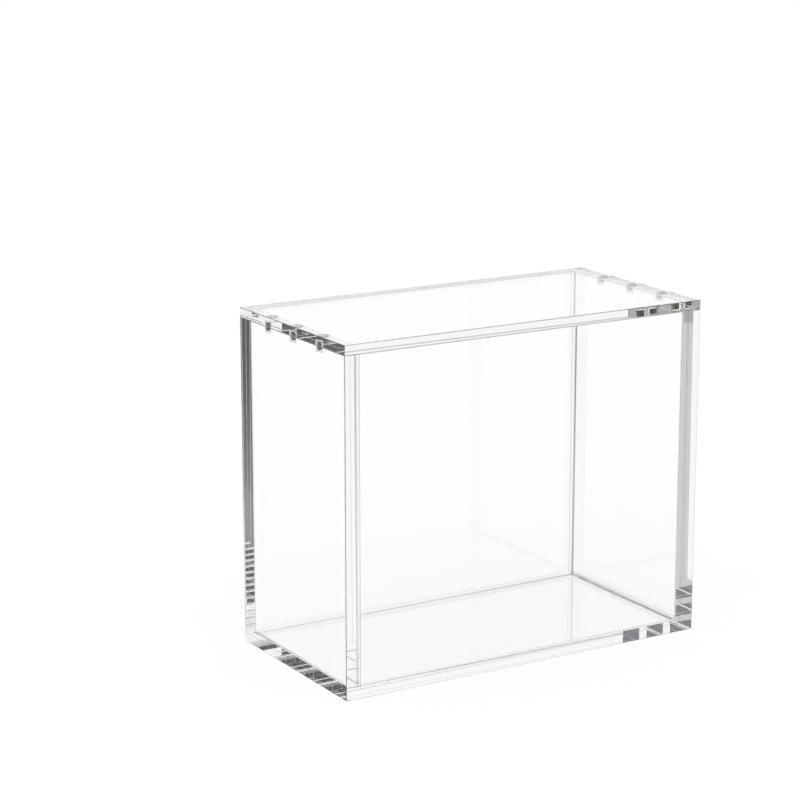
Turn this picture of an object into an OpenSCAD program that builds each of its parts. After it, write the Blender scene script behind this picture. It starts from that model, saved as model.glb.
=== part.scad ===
// Trading card display case with a lift-off magnetic lid.
//
// Five clear acrylic panels are cemented into an open-topped box, and a sixth lies on it as the lid. The two
// side walls are thicker than the other panels, because blind pockets in their top edges hold nickel-plated
// disc magnets. Each magnet stands under its partner in the underside of the lid, so the lid is held without
// a hinge, a latch or a lip.
//
// Millimetres. The origin is the middle of the underside: X runs to the right, Y to the back and Z up.
// The side walls run the full depth and the front and back walls stand between them, all on the base plate.

/* [Case] */
// Outside width of the case, over both side walls
case_w = 210; // [120:1:320]
// Outside depth of the case, over the front and back walls
case_d = 106; // [84:1:200]
// Height of the walls, from the base plate to the underside of the lid
wall_h = 167; // [60:1:260]

/* [Panels] */
// Thickness of the base plate
base_t = 5; // [3:0.5:10]
// Thickness of the left and right walls, which carry magnets in their top edges
side_t = 8; // [7:0.5:12]
// Thickness of the front and back walls
face_t = 5; // [3:0.5:10]
// Thickness of the lid plate, which carries magnets in its underside
lid_t = 5; // [5:0.5:10]
// Width of the fine bevel that breaks each exposed edge of a polished panel
arris = 0.3; // [0.1:0.05:0.6]

/* [Magnets] */
// Diameter of each magnet
magnet_d = 6; // [3:0.5:6]
// Thickness of each magnet
magnet_l = 2; // [1:0.5:3]
// Width of the bevel round both ends of each magnet
magnet_bevel = 0.3; // [0.1:0.05:0.4]
// Distance between neighbouring magnets along a side wall
magnet_pitch = 26; // [12:0.5:34]
// How far the end of each magnet stands back from the face that its pocket opens in
magnet_recess = 0.1; // [0.05:0.05:0.4]
// Clearance all round a magnet in its pocket, which the adhesive fills
pocket_gap = 0.1; // [0.05:0.05:0.2]
// Depth that a pocket in a wall has beyond its magnet
wall_spare = 1.3; // [0.6:0.1:3]
// Depth that a pocket in the lid has beyond its magnet
lid_spare = 0.6; // [0.6:0.1:1]
// Radius that the cutter leaves round the bottom of each pocket
pocket_corner = 0.6; // [0.2:0.1:0.6]

/* [Hidden] */
$fn = 48;
// Names of the two sides and of the three places along each, with the side or step that each stands for
SIDES = [["left", -1], ["right", 1]];
PLACES = [["front", -1], ["middle", 0], ["back", 1]];
// One node for each magnet: the walls hold the lower magnet of each pair, and the lid the upper one
function magnet_name(side, holder, place) = str(side[0], "_", holder, "_magnet_", place[0]);

// Height of the underside of the lid, where the walls end
lid_z = base_t + wall_h;
// Width of the front and back walls, which fit between the side walls
face_w = case_w - 2 * side_t;
// Radius of the pocket for one magnet
pocket_r = magnet_d / 2 + pocket_gap;
// Flats that stand for the round corner at the bottom of a pocket
CORNER_STEPS = 3;
// Cutters run past the face they open in by this much
past = 1;
// Directions of the four edges of a rectangle, in turn from its lower left corner
EDGES = [[1, 0], [0, 1], [-1, 0], [0, -1]];
// Which of a panel's corners are bevelled: lower left, lower right, upper right, upper left
ALL_FOUR = [1, 1, 1, 1];
LOWER = [1, 1, 0, 0];
UPPER = [0, 0, 1, 1];
NONE = [0, 0, 0, 0];

// Points of a rectangle that is centred on x = 0 and stands on y = 0, with a bevel at each corner marked 1
function bevelled(w, h, marks) = [
    for (i = [0:3])
        let (
            corner = [[-w / 2, 0], [w / 2, 0], [w / 2, h], [-w / 2, h]][i],
            back = corner - arris * EDGES[(i + 3) % 4],
            on = corner + arris * EDGES[i]
        )
        each (marks[i] == 1 ? [back, on] : [corner])
];

// A flat panel on z = 0, centred in x and y. Marks say which edges are bevelled, as seen from above for the
// upright edges, from the front for those that run front to back, and from the right for those that run
// left to right.
module panel(size, plan_marks, front_marks, side_marks) {
    intersection() {
        translate([0, -size.y / 2, 0])
            linear_extrude(size.z) polygon(bevelled(size.x, size.y, plan_marks));
        rotate([90, 0, 0])
            linear_extrude(size.y, center = true) polygon(bevelled(size.x, size.z, front_marks));
        rotate([90, 0, 90])
            linear_extrude(size.x, center = true) polygon(bevelled(size.y, size.z, side_marks));
    }
}

// Puts its children on the axis of one magnet pair, over the middle of the side wall
module at_magnet(side, place) {
    translate([side[1] * (case_w - side_t) / 2, place[1] * magnet_pitch, 0]) children();
}

// Cutter for one pocket. Its mouth is on z = 0, and it is deeper than its magnet needs by the spare depth.
module pocket(spare) {
    bottom = -magnet_recess - magnet_l - spare;
    middle = [pocket_r - pocket_corner, bottom + pocket_corner];
    rotate_extrude()
        polygon([
            [0, bottom],
            for (i = [0:CORNER_STEPS])
                let (turn = 90 * i / CORNER_STEPS)
                middle + pocket_corner * [sin(turn), -cos(turn)],
            [pocket_r, past], [0, past]
        ]);
}

// Disc magnet that stands on z = 0, with both ends bevelled
module magnet() {
    r = magnet_d / 2;
    rotate_extrude()
        polygon([
            [0, 0], [r - magnet_bevel, 0], [r, magnet_bevel],
            [r, magnet_l - magnet_bevel], [r - magnet_bevel, magnet_l], [0, magnet_l]
        ]);
}

// Full-size floor panel that the four walls are cemented on
module base_plate() {
    color("whitesmoke", 0.35)
        panel([case_w, case_d, base_t], ALL_FOUR, LOWER, LOWER);
}

// Side wall over the full depth, with a row of magnet pockets in its top edge
module side_wall(side) {
    outer = side[1] < 0 ? [1, 0, 0, 1] : [0, 1, 1, 0];
    color("whitesmoke", 0.35)
        difference() {
            translate([side[1] * (case_w - side_t) / 2, 0, base_t])
                panel([side_t, case_d, wall_h], outer, UPPER, UPPER);
            for (place = PLACES)
                at_magnet(side, place) translate([0, 0, lid_z]) pocket(wall_spare);
        }
}

// Front or back wall between the side walls. way is -1 for the front and 1 for the back.
module face_wall(way) {
    color("whitesmoke", 0.35)
        translate([0, way * (case_d - face_t) / 2, base_t])
            panel([face_w, face_t, wall_h], NONE, NONE, UPPER);
}

// Lid: a flat plate over the whole footprint, with the matching pockets in its underside
module lid_plate() {
    color("whitesmoke", 0.35)
        difference() {
            translate([0, 0, lid_z])
                panel([case_w, case_d, lid_t], ALL_FOUR, ALL_FOUR, ALL_FOUR);
            for (side = SIDES, place = PLACES)
                at_magnet(side, place) translate([0, 0, lid_z]) mirror([0, 0, 1]) pocket(lid_spare);
        }
}

// Lower magnet of a pair, just below the mouth of its pocket in the wall
module wall_magnet(side, place) {
    color("silver")
        at_magnet(side, place) translate([0, 0, lid_z - magnet_recess - magnet_l]) magnet();
}

// Upper magnet of a pair, just above the mouth of its pocket in the lid
module lid_magnet(side, place) {
    color("silver")
        at_magnet(side, place) translate([0, 0, lid_z + magnet_recess]) magnet();
}

base_plate();
side_wall(SIDES[0]);  // left_wall
side_wall(SIDES[1]);  // right_wall
face_wall(-1);  // front_wall
face_wall(1);  // back_wall
lid_plate();
for (side = SIDES, place = PLACES) {
    wall_magnet(side, place);
    lid_magnet(side, place);
}
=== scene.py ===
"""Looks of a trading card display case: polished clear panels, cement fillets and nickel-plated magnets.

Every length is in metres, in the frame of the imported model: X to the right, Y to the back and Z up, with the
middle of the underside at the origin.
"""

import logging
import math
from contextlib import contextmanager
from dataclasses import dataclass, field
from enum import Enum
from typing import Callable, Iterator

import bmesh
import bpy
from mathutils import Matrix, Vector


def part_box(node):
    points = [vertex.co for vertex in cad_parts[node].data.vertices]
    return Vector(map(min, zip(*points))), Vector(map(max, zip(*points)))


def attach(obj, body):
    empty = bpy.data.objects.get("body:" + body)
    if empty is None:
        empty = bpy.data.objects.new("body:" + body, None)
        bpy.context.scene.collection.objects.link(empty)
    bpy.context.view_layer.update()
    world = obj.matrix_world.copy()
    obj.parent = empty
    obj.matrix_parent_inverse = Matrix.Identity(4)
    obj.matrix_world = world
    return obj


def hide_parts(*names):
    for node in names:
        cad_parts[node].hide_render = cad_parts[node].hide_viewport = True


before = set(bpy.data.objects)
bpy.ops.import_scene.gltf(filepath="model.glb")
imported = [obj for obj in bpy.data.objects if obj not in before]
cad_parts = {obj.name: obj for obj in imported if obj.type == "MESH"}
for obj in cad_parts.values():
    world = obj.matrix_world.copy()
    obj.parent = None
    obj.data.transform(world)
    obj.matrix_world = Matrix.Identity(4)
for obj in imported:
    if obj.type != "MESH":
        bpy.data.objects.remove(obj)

MM = 0.001
LOG = logging.getLogger("display_case")
# Cosine above which two directions count as the same
SAME_WAY = 0.999
# Profile of a bevel that is a quarter of a circle
ROUND = 0.5
# Flats round a pocket and round a magnet, and steps across the rounded edges of the pieces
POCKET_FLATS = 64
MAGNET_FLATS = 48
ARRIS_STEPS = 2
RIM_STEPS = 3
CORNER_STEPS = 8
FILLET_STEPS = 6
# Sockets of a Mix node for colours: its share, the colour below, the colour above and the result
SHARE, BELOW, ABOVE, MIXED = 0, 6, 7, 2


class Side(Enum):
    """Which side wall, with its direction along X."""

    LEFT = -1
    RIGHT = 1


class Way(Enum):
    """Front or back, with its direction along Y."""

    FRONT = -1
    BACK = 1


class Holder(Enum):
    """What a magnet is set in."""

    WALL = "wall"
    LID = "lid"


class Slot(Enum):
    """Material slots of a panel, in their order on the mesh."""

    FACE = 0
    EDGE = 1
    ARRIS = 2
    POCKET = 3
    CEMENTED = 4


# ----------------------------------------------------------------------------------------------------
# Small tools


def linear(hex_colour: str) -> tuple[float, float, float, float]:
    """Turns an sRGB colour into the linear one that a shader takes.

    Args:
        hex_colour: Colour as #RRGGBB.

    Returns:
        Red, green, blue and an alpha of 1.
    """
    parts = [int(hex_colour[i : i + 2], 16) / 255 for i in (1, 3, 5)]
    red, green, blue = (p / 12.92 if p <= 0.04045 else ((p + 0.055) / 1.055) ** 2.4 for p in parts)
    return red, green, blue, 1.0


def add_node(tree: bpy.types.NodeTree, kind: str, inputs: dict | None = None, **settings) -> bpy.types.Node:
    """Adds one node to a tree.

    Args:
        tree: Node tree of a material or world.
        kind: Blender's name of the node type, without its leading ShaderNode.
        inputs: Values and output sockets for the node's inputs, by name or number.
        **settings: Properties of the node itself.

    Returns:
        The new node.
    """
    made = tree.nodes.new("ShaderNode" + kind)
    for name, value in settings.items():
        setattr(made, name, value)
    for key, value in (inputs or {}).items():
        if isinstance(value, bpy.types.NodeSocket):
            tree.links.new(value, made.inputs[key])
        else:
            made.inputs[key].default_value = value
    return made


def new_material(name: str) -> bpy.types.Material:
    """Makes a material with an empty node tree.

    Args:
        name: Name of the material.

    Returns:
        The material.
    """
    material = bpy.data.materials.new(name)
    material.use_nodes = True
    material.node_tree.nodes.clear()
    return material


def deselect() -> None:
    """Deselects every object, so that the next operator acts on the new one alone."""
    bpy.ops.object.select_all(action="DESELECT")


def only(piece: bpy.types.Object) -> None:
    """Makes one object the selected and active one.

    Args:
        piece: Object to work on.
    """
    deselect()
    piece.select_set(True)
    bpy.context.view_layer.objects.active = piece


@contextmanager
def editing(piece: bpy.types.Object) -> Iterator[bmesh.types.BMesh]:
    """Opens a piece in edit mode with nothing selected.

    Args:
        piece: Mesh object to edit.

    Yields:
        The mesh as it is being edited.
    """
    only(piece)
    bpy.ops.object.mode_set(mode="EDIT")
    bpy.ops.mesh.select_all(action="DESELECT")
    yield bmesh.from_edit_mesh(piece.data)
    bpy.ops.object.mode_set(mode="OBJECT")


def select_faces(mesh: bmesh.types.BMesh, wanted: Callable[[bmesh.types.BMFace], bool]) -> None:
    """Selects the faces that pass a test, and no others.

    Args:
        mesh: Mesh in edit mode.
        wanted: Test for one face.
    """
    bpy.ops.mesh.select_mode(type="FACE")
    for face in mesh.faces:
        face.select_set(wanted(face))
    mesh.select_flush_mode()


def settle(piece: bpy.types.Object) -> None:
    """Puts an object's place, turn and scale into its mesh, so that the object sits at the origin.

    Args:
        piece: Object to settle.
    """
    only(piece)
    bpy.ops.object.transform_apply(location=True, rotation=True, scale=True)


def apply_modifier(piece: bpy.types.Object, kind: str, **settings) -> None:
    """Adds a modifier to a piece and applies it.

    Args:
        piece: Object that gets the modifier.
        kind: Blender's name of the modifier type.
        **settings: Properties of the modifier.
    """
    only(piece)
    modifier = piece.modifiers.new(kind.title(), kind)
    for name, value in settings.items():
        setattr(modifier, name, value)
    bpy.ops.object.modifier_apply(modifier=modifier.name)


def hand_over(
    piece: bpy.types.Object, body: str, smooth_degrees: float, node: str | None = None
) -> None:
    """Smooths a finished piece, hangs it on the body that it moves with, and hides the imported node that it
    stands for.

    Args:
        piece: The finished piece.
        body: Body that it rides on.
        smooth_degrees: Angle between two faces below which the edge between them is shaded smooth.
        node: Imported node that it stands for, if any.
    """
    only(piece)
    bpy.ops.object.shade_smooth_by_angle(angle=math.radians(smooth_degrees))
    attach(piece, body)
    if node is not None:
        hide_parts(node)
    LOG.info("%s: %d faces", piece.name, len(piece.data.polygons))


def block(name: str, low: Vector, high: Vector) -> bpy.types.Object:
    """Adds a plain block between two corners, to be shaped further.

    Args:
        name: Name of the object.
        low: Lowest corner.
        high: Highest corner.

    Returns:
        The block, with its place in its mesh.
    """
    deselect()
    bpy.ops.mesh.primitive_cube_add(size=1, location=(low + high) / 2, scale=high - low)
    piece = bpy.context.object
    piece.name = piece.data.name = name
    settle(piece)
    return piece


# ----------------------------------------------------------------------------------------------------
# Finishes


@dataclass(frozen=True)
class CastAcrylic:
    """Clear cast acrylic sheet as it comes from under its film: water-clear, glossy and all but flat.

    The eye sees almost nothing of the sheet itself, only what it reflects, and a grey line wherever it ends.
    """

    name: str = "cast_acrylic_face"
    # What the sheet leaves of the light that crosses it twice
    colour: str = "#FEFEFE"
    ior: float = 1.49
    roughness: float = 0.0
    # What one surface leaves of the light that lamps send through it
    lamp_share: str = "#FDFDFD"
    # Waves of the surface: their size and height in millimetres
    ripple_mm: float = 26.0
    ripple_height_mm: float = 0.002

    def material(self) -> bpy.types.Material:
        """Builds the material: acrylic that lets the lamps' light through without caustics.

        Returns:
            The material.
        """
        material = new_material(self.name)
        tree = material.node_tree
        place = add_node(tree, "TexCoord")
        ripples = add_node(
            tree,
            "TexNoise",
            {"Vector": place.outputs["Object"], "Scale": 1 / (self.ripple_mm * MM), "Detail": 2.0},
        )
        bump = add_node(
            tree,
            "Bump",
            {"Height": ripples.outputs["Fac"], "Distance": self.ripple_height_mm * MM, "Strength": 1.0},
        )
        sheet = add_node(
            tree,
            "BsdfPrincipled",
            {
                "Base Color": linear(self.colour),
                "Roughness": self.roughness,
                "IOR": self.ior,
                "Transmission Weight": 1.0,
                "Normal": bump.outputs["Normal"],
            },
        )
        path = add_node(tree, "LightPath")
        either = {0: path.outputs["Is Shadow Ray"], 1: path.outputs["Is Diffuse Ray"]}
        lamp_light = add_node(tree, "Math", either, operation="MAXIMUM")
        passing = add_node(tree, "BsdfTransparent", {"Color": linear(self.lamp_share)})
        shaders = {0: lamp_light.outputs[0], 1: sheet.outputs[0], 2: passing.outputs[0]}
        mixed = add_node(tree, "MixShader", shaders)
        add_node(tree, "OutputMaterial", {"Surface": mixed.outputs[0]})
        return material


@dataclass(frozen=True)
class PolishedEdge(CastAcrylic):
    """Sawn edge of the same sheet after diamond milling and buffing.

    It is as clear as the face, but buffing leaves it faintly wavy, so that lines seen in it waver a little.
    """

    name: str = "buffed_acrylic_edge"
    colour: str = "#FAFAFB"
    ripple_mm: float = 9.0
    ripple_height_mm: float = 0.003


@dataclass(frozen=True)
class ScrapedArrisPaintedShade(CastAcrylic):
    """Fine bevel that a scraper leaves along each edge, a little dull, with painted shade: a grey tint in its
    transmission draws it as a thin grey line, standing in for the dark surroundings that the bevel refracts.
    """

    name: str = "scraped_acrylic_arris"
    # Painted shade: grey tint that darkens the light crossing the arris, so that it reads as a thin grey line
    colour: str = "#84848A"
    roughness: float = 0.04
    ripple_mm: float = 6.0
    ripple_height_mm: float = 0.16


@dataclass(frozen=True)
class MilledPocket(CastAcrylic):
    """Wall of a blind pocket as a sharp end mill left it: clear, faintly uneven, and bright at its rim."""

    name: str = "milled_acrylic_pocket"
    colour: str = "#FFFFFF"
    roughness: float = 0.04
    ripple_mm: float = 1.5
    ripple_height_mm: float = 0.004


@dataclass(frozen=True)
class SetCement(CastAcrylic):
    """Fillet of solvent cement that set in an inside corner: clear, with a satin skin that waves a little.

    It reads as a narrow light grey band with uneven rims along each inside corner.
    """

    name: str = "set_solvent_cement"
    colour: str = "#FFFFFF"
    roughness: float = 0.3
    ripple_mm: float = 2.6
    ripple_height_mm: float = 0.05


@dataclass(frozen=True)
class SolventCement:
    """Surface inside a solvent-cemented joint: the two panels have run into one, so nothing shows there."""

    name: str = "solvent_cemented_joint"
    colour: str = "#FFFFFF"

    def material(self) -> bpy.types.Material:
        """Builds the material, which lets every ray straight on.

        Returns:
            The material.
        """
        material = new_material(self.name)
        tree = material.node_tree
        passing = add_node(tree, "BsdfTransparent", {"Color": linear(self.colour)})
        add_node(tree, "OutputMaterial", {"Surface": passing.outputs[0]})
        return material


@dataclass(frozen=True)
class AdhesiveFilm(SolventCement):
    """Clear adhesive in the clearance round a magnet: a thin film with a touch of amber."""

    name: str = "clear_magnet_adhesive"
    colour: str = "#FAF7F1"


@dataclass(frozen=True)
class NickelPlate:
    """Bright nickel plating on a sintered disc magnet, tumbled before plating.

    It is a warm grey mirror whose colour a fine grain mixes between a light tone and a dark one: partly the
    uneven tumbled metal below, and partly painted reflection, since the dark tone is far darker than nickel
    and stands in for the dark room that the plating mirrors.
    """

    name: str = "bright_nickel_plate"
    colour: str = "#CDCBC7"
    # Dark tone of the grain: painted reflection, darker than nickel so that the plating looks as if it
    # mirrored the dark room
    dark_grain_painted_reflection: str = "#6A6865"
    roughness: float = 0.1
    grain_mm: float = 0.35
    grain_height_mm: float = 0.004

    def material(self) -> bpy.types.Material:
        """Builds the material: a metal with a fine uneven grain in colour and height, whose dark tone is
        painted reflection.

        Returns:
            The material.
        """
        material = new_material(self.name)
        tree = material.node_tree
        place = add_node(tree, "TexCoord")
        grain = add_node(
            tree,
            "TexNoise",
            {"Vector": place.outputs["Object"], "Scale": 1 / (self.grain_mm * MM), "Detail": 3.0},
        )
        grain_tone_painted_reflection = add_node(
            tree,
            "Mix",
            {SHARE: grain.outputs["Fac"], BELOW: linear(self.dark_grain_painted_reflection), ABOVE: linear(self.colour)},
            data_type="RGBA",
        )
        bump = add_node(
            tree,
            "Bump",
            {"Height": grain.outputs["Fac"], "Distance": self.grain_height_mm * MM, "Strength": 1.0},
        )
        plate = add_node(
            tree,
            "BsdfPrincipled",
            {
                "Base Color": grain_tone_painted_reflection.outputs[MIXED],
                "Metallic": 1.0,
                "Roughness": self.roughness,
                "Normal": bump.outputs["Normal"],
            },
        )
        add_node(tree, "OutputMaterial", {"Surface": plate.outputs[0]})
        return material


# ----------------------------------------------------------------------------------------------------
# The case


@dataclass
class Sizes:
    """Sizes that the pieces share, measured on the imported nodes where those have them."""

    low: Vector
    high: Vector
    # Inside of the box, between the walls
    inner_low: Vector
    inner_high: Vector
    # Width of the rounded arris on a free edge, and of the fine break on an edge that ends at a joint
    arris: float = 0.3 * MM
    groove: float = 0.1 * MM
    # Width of the fillet of cement in the inside corners
    fillet: float = 1.7 * MM
    # Air film between the walls and the lid that lies on them
    film: float = 0.04 * MM
    # Pocket of a magnet: clearance all round it, depth beyond it, and the radius of its bottom corner
    pocket_gap: float = 0.1 * MM
    wall_spare: float = 1.3 * MM
    lid_spare: float = 0.6 * MM
    pocket_corner: float = 0.6 * MM

    @staticmethod
    def measured() -> "Sizes":
        """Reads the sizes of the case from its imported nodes.

        Returns:
            The sizes.
        """
        base_low, base_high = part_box("base_plate")
        left_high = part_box("left_wall")[1]
        right_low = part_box("right_wall")[0]
        front_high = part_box("front_wall")[1]
        back_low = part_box("back_wall")[0]
        lid_low, lid_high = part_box("lid_plate")
        return Sizes(
            low=base_low,
            high=lid_high,
            inner_low=Vector((left_high.x, front_high.y, base_high.z)),
            inner_high=Vector((right_low.x, back_low.y, lid_low.z)),
        )

    def free_middle(self) -> tuple[Vector, Vector]:
        """Gives the part of the inside that lies clear of the fillets of cement.

        Returns:
            Its lowest and highest corners.
        """
        inset = Vector((self.fillet,) * 3)
        return self.inner_low + inset, self.inner_high - inset


@dataclass
class Pocket:
    """One blind pocket, milled round a magnet from the face that it opens in."""

    magnet: str
    sizes: Sizes
    # 1 where the closed end is above the mouth, and -1 where it is below
    up: int
    middle: Vector = field(init=False)
    radius: float = field(init=False)
    # Height of the closed end
    floor_z: float = field(init=False)

    def __post_init__(self) -> None:
        """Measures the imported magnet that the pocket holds."""
        s = self.sizes
        low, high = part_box(self.magnet)
        self.middle = (low + high) / 2
        self.radius = (high.x - low.x) / 2 + s.pocket_gap
        self.floor_z = high.z + s.lid_spare if self.up > 0 else low.z - s.wall_spare

    def holds(self, point: Vector) -> bool:
        """Tells whether a point of the panel lies in the pocket.

        Args:
            point: Middle of a face of the panel.

        Returns:
            True on the wall and on the closed end of the pocket.
        """
        slack = self.sizes.pocket_gap / 2
        mouth = self.sizes.inner_high.z
        aside = (point - self.middle).to_2d().length
        depth = self.up * (point.z - mouth)
        return aside < self.radius + slack and slack < depth < abs(self.floor_z - mouth) + slack

    def mill(self, piece: bpy.types.Object) -> None:
        """Cuts the pocket into a panel.

        Args:
            piece: The panel.
        """
        s = self.sizes
        mouth = s.inner_high.z - self.up * MM
        place = Vector((self.middle.x, self.middle.y, (mouth + self.floor_z) / 2))
        deselect()
        bpy.ops.mesh.primitive_cylinder_add(
            vertices=POCKET_FLATS, radius=self.radius, depth=abs(mouth - self.floor_z), location=place
        )
        cutter = bpy.context.object
        settle(cutter)
        with editing(cutter) as mesh:
            select_faces(mesh, lambda face: face.normal.z * self.up > SAME_WAY)
            bpy.ops.mesh.bevel(offset=s.pocket_corner, segments=CORNER_STEPS, profile=ROUND)
        apply_modifier(piece, "BOOLEAN", object=cutter, operation="DIFFERENCE", solver="EXACT")
        bpy.data.objects.remove(cutter)


@dataclass
class Panel:
    """One panel of clear sheet: a block with broken edges, and joints where other panels are cemented on."""

    node: str
    body: str
    sizes: Sizes
    # Outward directions of the faces that are cemented all over
    joined: list[Vector] = field(default_factory=list)
    # Outward direction of the face that looks into the box, which is cemented round its rim
    inward: Vector | None = None
    # Gap that is left below the panel
    lift: float = 0.0
    pockets: list[Pocket] = field(default_factory=list)
    low: Vector = field(init=False)
    high: Vector = field(init=False)

    def __post_init__(self) -> None:
        """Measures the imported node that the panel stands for."""
        self.low, self.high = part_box(self.node)
        self.low.z += self.lift

    def edge_break(self, edge: bmesh.types.BMEdge) -> float:
        """Tells how wide an edge is broken.

        Args:
            edge: Edge of the plain block.

        Returns:
            Width as a share of a free arris.
        """
        s = self.sizes
        middle = (edge.verts[0].co + edge.verts[1].co) / 2
        normals = [face.normal for face in edge.link_faces]
        glued = [n for n in normals if any(n.dot(j) > SAME_WAY for j in self.joined)]
        faces_in = [n for n in normals if self.inward is not None and n.dot(self.inward) > SAME_WAY]
        on_seam = abs(middle.z - s.inner_low.z) < s.groove
        if len(glued) == 2 or (glued and faces_in):
            return 0.0
        if glued or on_seam:
            on_top = abs(middle.z - s.inner_high.z) < s.groove
            return 0.0 if on_top else s.groove / s.arris
        upright_end = abs(normals[0].y + normals[1].y) > SAME_WAY
        if faces_in and abs(faces_in[0].x) > SAME_WAY and upright_end:
            return s.groove / s.arris
        return 1.0

    def shape(self) -> bpy.types.Object:
        """Makes the panel's block, breaks its edges, divides its inner face and mills its pockets.

        Returns:
            The panel.
        """
        s = self.sizes
        piece = block("clear_" + self.node, self.low, self.high)
        with editing(piece) as mesh:
            weights = mesh.edges.layers.float.new("bevel_weight_edge")
            for edge in mesh.edges:
                edge[weights] = self.edge_break(edge)
        by_weight = {"limit_method": "WEIGHT", "offset_type": "OFFSET", "profile": ROUND}
        apply_modifier(piece, "BEVEL", width=s.arris, segments=ARRIS_STEPS, **by_weight)
        for point, across in self.cuts():
            with editing(piece) as mesh:
                select_faces(mesh, lambda face: face.normal.dot(self.inward) > SAME_WAY)
                bpy.ops.mesh.bisect(plane_co=point, plane_no=across)
        for pocket in self.pockets:
            pocket.mill(piece)
        return piece

    def cuts(self) -> list[tuple[Vector, Vector]]:
        """Gives the planes that divide the inner face into its cemented rim and its free middle.

        Returns:
            For each plane a point on it and the direction across it, or nothing without an inner face.
        """
        low, high = self.sizes.free_middle()
        planes = []
        for axis in range(3):
            if self.inward is None or self.inward[axis] != 0:
                continue
            along = Vector([float(i == axis) for i in range(3)])
            planes.append((low, along))
            if axis < 2:
                planes.append((high, along))
        return planes

    def slot_of(self, polygon: bpy.types.MeshPolygon) -> Slot:
        """Chooses the finish of one face.

        Args:
            polygon: Face of the finished panel.

        Returns:
            Its material slot.
        """
        middle = polygon.center
        if any(pocket.holds(middle) for pocket in self.pockets):
            return Slot.POCKET
        if any(polygon.normal.dot(j) > SAME_WAY for j in self.joined):
            return Slot.CEMENTED
        if max(abs(part) for part in polygon.normal) < SAME_WAY:
            return Slot.ARRIS
        if self.inward is not None and polygon.normal.dot(self.inward) > SAME_WAY:
            low, high = self.sizes.free_middle()
            free = all(
                low[axis] < middle[axis] and (axis == 2 or middle[axis] < high[axis])
                for axis in range(3)
                if self.inward[axis] == 0
            )
            return Slot.FACE if free else Slot.CEMENTED
        thin = min(range(3), key=lambda axis: (self.high - self.low)[axis])
        return Slot.FACE if abs(polygon.normal[thin]) > SAME_WAY else Slot.EDGE

    def dress(self, piece: bpy.types.Object, finishes: list[bpy.types.Material]) -> None:
        """Gives the panel its finishes and puts it in its place in the model.

        Args:
            piece: The panel.
            finishes: Materials in the order of Slot.
        """
        piece.data.materials.clear()
        for finish in finishes:
            piece.data.materials.append(finish)
        for polygon in piece.data.polygons:
            polygon.material_index = self.slot_of(polygon).value
        hand_over(piece, self.body, smooth_degrees=12, node=self.node)


@dataclass
class AcrylicBox:
    """The open-topped box: a base plate with four walls cemented on it."""

    sizes: Sizes
    body: str = "box"

    def build(self, finishes: list[bpy.types.Material]) -> None:
        """Builds and dresses the five panels and the cement in their corners.

        Args:
            finishes: Materials in the order of Slot.
        """
        down = Vector((0, 0, -1))
        base = Panel("base_plate", self.body, self.sizes, inward=Vector((0, 0, 1)))
        base.dress(base.shape(), finishes)
        for side in Side:
            name = side.name.lower()
            inward = Vector((-side.value, 0, 0))
            pockets = [Pocket(magnet, self.sizes, up=-1) for magnet in magnet_nodes(side, Holder.WALL)]
            wall = Panel(f"{name}_wall", self.body, self.sizes, [down], inward, pockets=pockets)
            wall.dress(wall.shape(), finishes)
        for way in Way:
            ends = [Vector((side.value, 0, 0)) for side in Side]
            inward = Vector((0, -way.value, 0))
            wall = Panel(f"{way.name.lower()}_wall", self.body, self.sizes, [down, *ends], inward)
            wall.dress(wall.shape(), finishes)
        self.cement(finishes)

    def cement(self, finishes: list[bpy.types.Material]) -> None:
        """Runs a fillet of cement round the floor and up the four inside corners.

        Args:
            finishes: Materials in the order of Slot.
        """
        s = self.sizes
        above = Vector((0, 0, s.fillet * 4))
        piece = block("cement_fillets", s.inner_low, s.inner_high)
        hollow = block("hollow", s.inner_low, s.inner_high + above)
        with editing(hollow) as mesh:
            bpy.ops.mesh.select_mode(type="EDGE")
            for edge in mesh.edges:
                middle = (edge.verts[0].co + edge.verts[1].co) / 2
                edge.select_set(middle.z < s.inner_high.z)
            bpy.ops.mesh.bevel(offset=s.fillet, segments=FILLET_STEPS, profile=ROUND)
        # The flats of the hollow stand a hair past those of the block, so that the cut leaves no skin there
        hair = 0.002 * MM
        with editing(hollow) as mesh:
            for vertex in mesh.verts:
                for axis in range(3):
                    if abs(vertex.co[axis] - s.inner_low[axis]) < hair:
                        vertex.co[axis] -= hair
                    if axis < 2 and abs(vertex.co[axis] - s.inner_high[axis]) < hair:
                        vertex.co[axis] += hair
        apply_modifier(piece, "BOOLEAN", object=hollow, operation="DIFFERENCE", solver="EXACT")
        bpy.data.objects.remove(hollow)
        piece.data.materials.clear()
        for finish in (SetCement().material(), finishes[Slot.CEMENTED.value]):
            piece.data.materials.append(finish)
        for polygon in piece.data.polygons:
            square = max(abs(part) for part in polygon.normal) > SAME_WAY
            on_panel = square and polygon.normal.z < SAME_WAY
            polygon.material_index = int(on_panel)
        hand_over(piece, self.body, smooth_degrees=30)


@dataclass
class Lid:
    """The loose lid: a plain plate with six magnet pockets in its underside."""

    sizes: Sizes
    body: str = "lid"

    def build(self, finishes: list[bpy.types.Material]) -> None:
        """Builds and dresses the lid plate.

        Args:
            finishes: Materials in the order of Slot.
        """
        magnets = [magnet for side in Side for magnet in magnet_nodes(side, Holder.LID)]
        pockets = [Pocket(magnet, self.sizes, up=1) for magnet in magnets]
        plate = Panel("lid_plate", self.body, self.sizes, lift=self.sizes.film, pockets=pockets)
        plate.dress(plate.shape(), finishes)


def magnet_nodes(side: Side, holder: Holder) -> list[str]:
    """Names the magnets of one row.

    Args:
        side: Side of the case.
        holder: Whether they are set in the wall or the lid.

    Returns:
        Names of the nodes, from front to back.
    """
    return [f"{side.name.lower()}_{holder.value}_magnet_{place}" for place in ("front", "middle", "back")]


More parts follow.
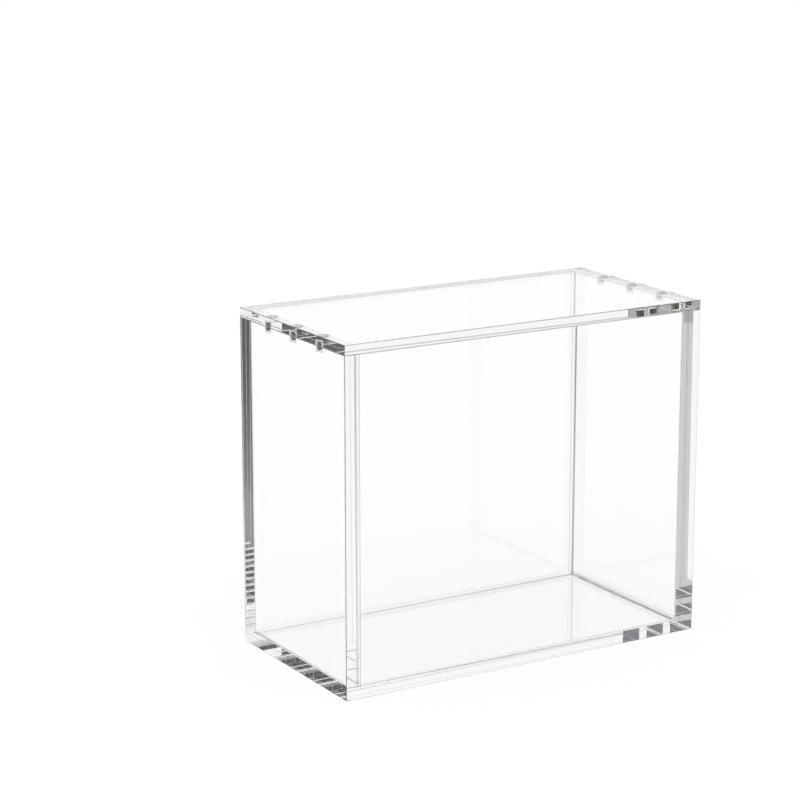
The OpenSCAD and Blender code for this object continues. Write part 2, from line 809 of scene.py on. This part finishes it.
@dataclass
class DiscMagnet:
    """One disc magnet with rounded rims."""

    node: str
    body: str
    rim: float = 0.3 * MM
    # Clearance between the magnet and its pocket
    gap: float = 0.1 * MM

    def disc(self, name: str, spare: float = 0.0) -> bpy.types.Object:
        """Makes a disc round the magnet's place.

        Args:
            name: Name of the piece.
            spare: How far it stands out past the magnet all round.

        Returns:
            The disc, with rounded rims.
        """
        low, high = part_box(self.node)
        radius = (high.x - low.x) / 2 + spare
        depth = high.z - low.z + 2 * spare
        deselect()
        bpy.ops.mesh.primitive_cylinder_add(
            vertices=MAGNET_FLATS, radius=radius, depth=depth, location=(low + high) / 2
        )
        piece = bpy.context.object
        piece.name = piece.data.name = name
        settle(piece)
        with editing(piece) as mesh:
            bpy.ops.mesh.select_mode(type="EDGE")
            for edge in mesh.edges:
                edge.select_set(abs(edge.verts[0].co.z - edge.verts[1].co.z) < self.rim)
            bpy.ops.mesh.bevel(offset=self.rim, segments=RIM_STEPS, profile=ROUND)
        return piece

    def build(self, finish: bpy.types.Material) -> None:
        """Builds and dresses the magnet.

        Args:
            finish: Material of the plating.
        """
        piece = self.disc("plated_" + self.node)
        piece.data.materials.append(finish)
        hand_over(piece, self.body, smooth_degrees=35, node=self.node)

    def glue(self, finish: bpy.types.Material) -> None:
        """Builds the film of adhesive in the middle of the clearance round the magnet.

        Args:
            finish: Material of the adhesive.
        """
        piece = self.disc("adhesive_" + self.node, spare=self.gap / 2)
        apply_modifier(piece, "SOLIDIFY", thickness=self.gap / 4, offset=0.0)
        piece.data.materials.append(finish)
        hand_over(piece, self.body, smooth_degrees=35)


# ----------------------------------------------------------------------------------------------------
# Studio and camera


@dataclass(frozen=True)
class Layer:
    """A colour that lies over those below it, and the span of a number over which it comes in."""

    value: bpy.types.NodeSocket
    start: float
    full: float
    colour: str | bpy.types.NodeSocket


@dataclass(frozen=True)
class Studio:
    """White table in a dark room: white behind the case, grey to the back left, dark in front, light above.

    Straight through the clear panels the eye sees only white. What the panels' edges gather from the room by
    reflection inside them is grey or black, and draws them.
    """

    sizes: Sizes
    white: str = "#FFFFFF"
    # What the panels' edges see of the room to the back left: the table, the wall behind it, and higher up
    left_table: str = "#D0D0D2"
    left_wall: str = "#AEACAE"
    left_high: str = "#808084"
    # What they see of it in front: the table near the case and farther off, and the dark room
    front_table: str = "#727276"
    front_far: str = "#101014"
    room: str = "#0C0C0C"
    # Where these begin, each as the span of a direction's X, Y or Z over which one comes in over the last
    left_wall_z: tuple[float, float] = (-0.2055, -0.2035)
    left_high_z: tuple[float, float] = (0.22, 0.31)
    front_far_z: tuple[float, float] = (-0.29, -0.215)
    room_z: tuple[float, float] = (-0.05, 0.05)
    right_x: tuple[float, float] = (-0.1, 0.1)
    front_y: tuple[float, float] = (0.1, -0.1)
    overhead_z: tuple[float, float] = (0.5, 0.7)
    underneath_z: tuple[float, float] = (-0.5, -0.7)
    # Light that the room gives to dull surfaces
    ambient: str = "#CBCBCB"
    lamp_strength: float = 1.9
    lamp_angle: float = math.radians(70)
    lamp_way: tuple[float, float, float] = (-0.35, -0.45, 1.0)
    floor_colour: str = "#F2F2F3"
    floor_low: tuple[float, float] = (-0.9, -0.9)
    floor_high: tuple[float, float] = (0.9, 0.9)
    floor_drop: float = 0.1 * MM

    def gathered(self, tree: bpy.types.NodeTree, path: bpy.types.Node) -> bpy.types.NodeSocket:
        """Tells rays that the panels' edges gathered from those that cross a panel or are mirrored twice.

        Args:
            tree: Node tree of the floor or the world.
            path: Its Light Path node.

        Returns:
            Socket of a number: 1 after three reflections, or after one and a way through a joint, and else 0.
        """
        counts = (("Glossy Depth", 0.5), ("Glossy Depth", 2.5), ("Transparent Depth", 0.5))
        once, thrice, joint = (
            add_node(tree, "Math", {0: path.outputs[depth], 1: below}, operation="GREATER_THAN").outputs[0]
            for depth, below in counts
        )
        through = add_node(tree, "Math", {0: once, 1: joint}, operation="MULTIPLY")
        gathered = add_node(tree, "Math", {0: thrice, 1: through.outputs[0]}, operation="MAXIMUM")
        return gathered.outputs[0]

    def layered(
        self, tree: bpy.types.NodeTree, ground: str, layers: list[Layer]
    ) -> bpy.types.NodeSocket:
        """Lays colours over each other, each with a soft border.

        Args:
            tree: Node tree of the world.
            ground: Colour of the lowest layer.
            layers: The layers above it, from the lowest up.

        Returns:
            Socket of the colour.
        """
        seen = linear(ground)
        for layer in layers:
            span = {"Value": layer.value, "From Min": layer.start, "From Max": layer.full}
            share = add_node(tree, "MapRange", span, interpolation_type="SMOOTHSTEP")
            over = linear(layer.colour) if isinstance(layer.colour, str) else layer.colour
            colours = {SHARE: share.outputs[0], BELOW: seen, ABOVE: over}
            seen = add_node(tree, "Mix", colours, data_type="RGBA").outputs[MIXED]
        return seen

    def sky(self) -> None:
        """Builds the surroundings as a world."""
        world = bpy.data.worlds.new("studio")
        bpy.context.scene.world = world
        world.use_nodes = True
        tree = world.node_tree
        tree.nodes.clear()
        place = add_node(tree, "TexCoord")
        way = add_node(tree, "SeparateXYZ", {0: place.outputs["Generated"]})
        x, y, z = (way.outputs[axis] for axis in "XYZ")
        front_layers = [Layer(z, *self.front_far_z, self.front_far), Layer(z, *self.room_z, self.room)]
        front = self.layered(tree, self.front_table, front_layers)
        room_layers = [
            Layer(z, *self.left_wall_z, self.left_wall),
            Layer(z, *self.left_high_z, self.left_high),
            Layer(x, *self.right_x, self.white),
            Layer(y, *self.front_y, front),
            Layer(z, *self.overhead_z, self.white),
            Layer(z, *self.underneath_z, self.white),
        ]
        room = self.layered(tree, self.left_table, room_layers)
        path = add_node(tree, "LightPath")
        gathered = self.gathered(tree, path)
        kinds = [Layer(gathered, 0, 1, room), Layer(path.outputs["Is Diffuse Ray"], 0, 1, self.ambient)]
        seen = self.layered(tree, self.white, kinds)
        light = add_node(tree, "Background", {"Color": seen, "Strength": 1.0})
        add_node(tree, "OutputWorld", {"Surface": light.outputs[0]})

    def floor_material(self) -> bpy.types.Material:
        """Builds the floor's material: a matt white table, which gathered rays pass beside the case.

        Returns:
            The material.
        """
        material = new_material("matt_white_table")
        tree = material.node_tree
        matt = add_node(tree, "BsdfDiffuse", {"Color": linear(self.floor_colour)})
        gathered = self.gathered(tree, add_node(tree, "LightPath"))
        away = add_node(tree, "Math", {0: gathered, 1: self.beside(tree)}, operation="MULTIPLY")
        through = add_node(tree, "BsdfTransparent")
        shaders = {0: away.outputs[0], 1: matt.outputs[0], 2: through.outputs[0]}
        either = add_node(tree, "MixShader", shaders)
        add_node(tree, "OutputMaterial", {"Surface": either.outputs[0]})
        return material

    def beside(self, tree: bpy.types.NodeTree) -> bpy.types.NodeSocket:
        """Tells the floor beside the case, as 1, from the floor under it.

        Args:
            tree: Node tree of the floor.

        Returns:
            Socket of the number.
        """
        half = Vector((self.sizes.high.x, self.sizes.high.y, 1.0))
        place = add_node(tree, "TexCoord")
        apart = add_node(tree, "VectorMath", {0: place.outputs["Object"]}, operation="ABSOLUTE")
        share = add_node(tree, "VectorMath", {0: apart.outputs[0], 1: half}, operation="DIVIDE")
        way = add_node(tree, "SeparateXYZ", {0: share.outputs[0]})
        most = add_node(tree, "Math", {0: way.outputs["X"], 1: way.outputs["Y"]}, operation="MAXIMUM")
        outside = add_node(tree, "Math", {0: most.outputs[0], 1: 1.0 + MM}, operation="GREATER_THAN")
        return outside.outputs[0]

    def floor(self) -> None:
        """Lays the pale floor a hair below the case, whose underside so stays a polished face."""
        deselect()
        (x0, y0), (x1, y1) = self.floor_low, self.floor_high
        bpy.ops.mesh.primitive_plane_add(size=1, location=((x0 + x1) / 2, (y0 + y1) / 2, -self.floor_drop))
        floor = bpy.context.object
        floor.name = "pale_floor"
        floor.scale = (x1 - x0, y1 - y0, 1)
        settle(floor)
        floor.data.materials.append(self.floor_material())

    def lamp(self) -> None:
        """Hangs one large soft light above and in front of the case, even over the whole floor."""
        deselect()
        way = Vector(self.lamp_way)
        bpy.ops.object.light_add(type="SUN", location=way)
        lamp = bpy.context.object
        lamp.name = "softbox"
        lamp.data.angle = self.lamp_angle
        lamp.data.energy = self.lamp_strength
        lamp.rotation_euler = (-way).to_track_quat("-Z", "Y").to_euler()
        lamp.visible_glossy = False
        lamp.visible_transmission = False

    def build(self) -> None:
        """Sets up the surroundings, the floor and the lamp."""
        self.sky()
        self.floor()
        self.lamp()
        cycles = bpy.context.scene.cycles
        # Light runs up to 40 times to and fro inside the edges
        cycles.max_bounces = 64
        cycles.glossy_bounces = 56
        cycles.transmission_bounces = 56
        cycles.transparent_max_bounces = 64


@dataclass(frozen=True)
class Viewpoint:
    """The camera's place round a point in front of it, at the photograph's viewing angle."""

    target: tuple[float, float, float] = (-0.0426, 0.0, 0.1319)
    azimuth: float = math.radians(-31.11)
    elevation: float = math.radians(13.65)
    roll: float = math.radians(-0.04)
    distance: float = 1.252
    # Focal length in pixels of the square picture, and the picture's width
    focal_px: float = 2487.4
    picture_px: float = 800.0
    sensor_mm: float = 36.0
    nearest: float = 0.05
    farthest: float = 20.0

    def build(self) -> None:
        """Makes the camera and looks through it."""
        a, e = self.azimuth, self.elevation
        back = Vector((math.sin(a) * math.cos(e), -math.cos(a) * math.cos(e), math.sin(e)))
        turn = (-back).to_track_quat("-Z", "Y").to_matrix() @ Matrix.Rotation(self.roll, 3, "Z")
        deselect()
        place = Vector(self.target) + back * self.distance
        bpy.ops.object.camera_add(location=place, rotation=turn.to_euler())
        camera = bpy.context.object
        camera.name = "viewpoint"
        camera.data.sensor_width = self.sensor_mm
        camera.data.lens = self.focal_px * self.sensor_mm / self.picture_px
        camera.data.clip_start = self.nearest
        camera.data.clip_end = self.farthest
        bpy.context.scene.camera = camera


def main() -> None:
    """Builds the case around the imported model, then the studio and the camera."""
    logging.basicConfig(level=logging.INFO, format="%(name)s: %(message)s")
    bpy.context.scene.view_settings.view_transform = "Standard"
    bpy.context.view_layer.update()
    Viewpoint().build()
    sizes = Sizes.measured()
    kinds = (CastAcrylic, PolishedEdge, ScrapedArrisPaintedShade, MilledPocket, SolventCement)
    finishes = [kind().material() for kind in kinds]
    AcrylicBox(sizes).build(finishes)
    Lid(sizes).build(finishes)
    nickel = NickelPlate().material()
    adhesive = AdhesiveFilm().material()
    for holder, body in ((Holder.WALL, "box"), (Holder.LID, "lid")):
        for side in Side:
            for node in magnet_nodes(side, holder):
                magnet = DiscMagnet(node, body, gap=sizes.pocket_gap)
                magnet.build(nickel)
                magnet.glue(adhesive)
    Studio(sizes).build()


if __name__ == "__main__":
    main()
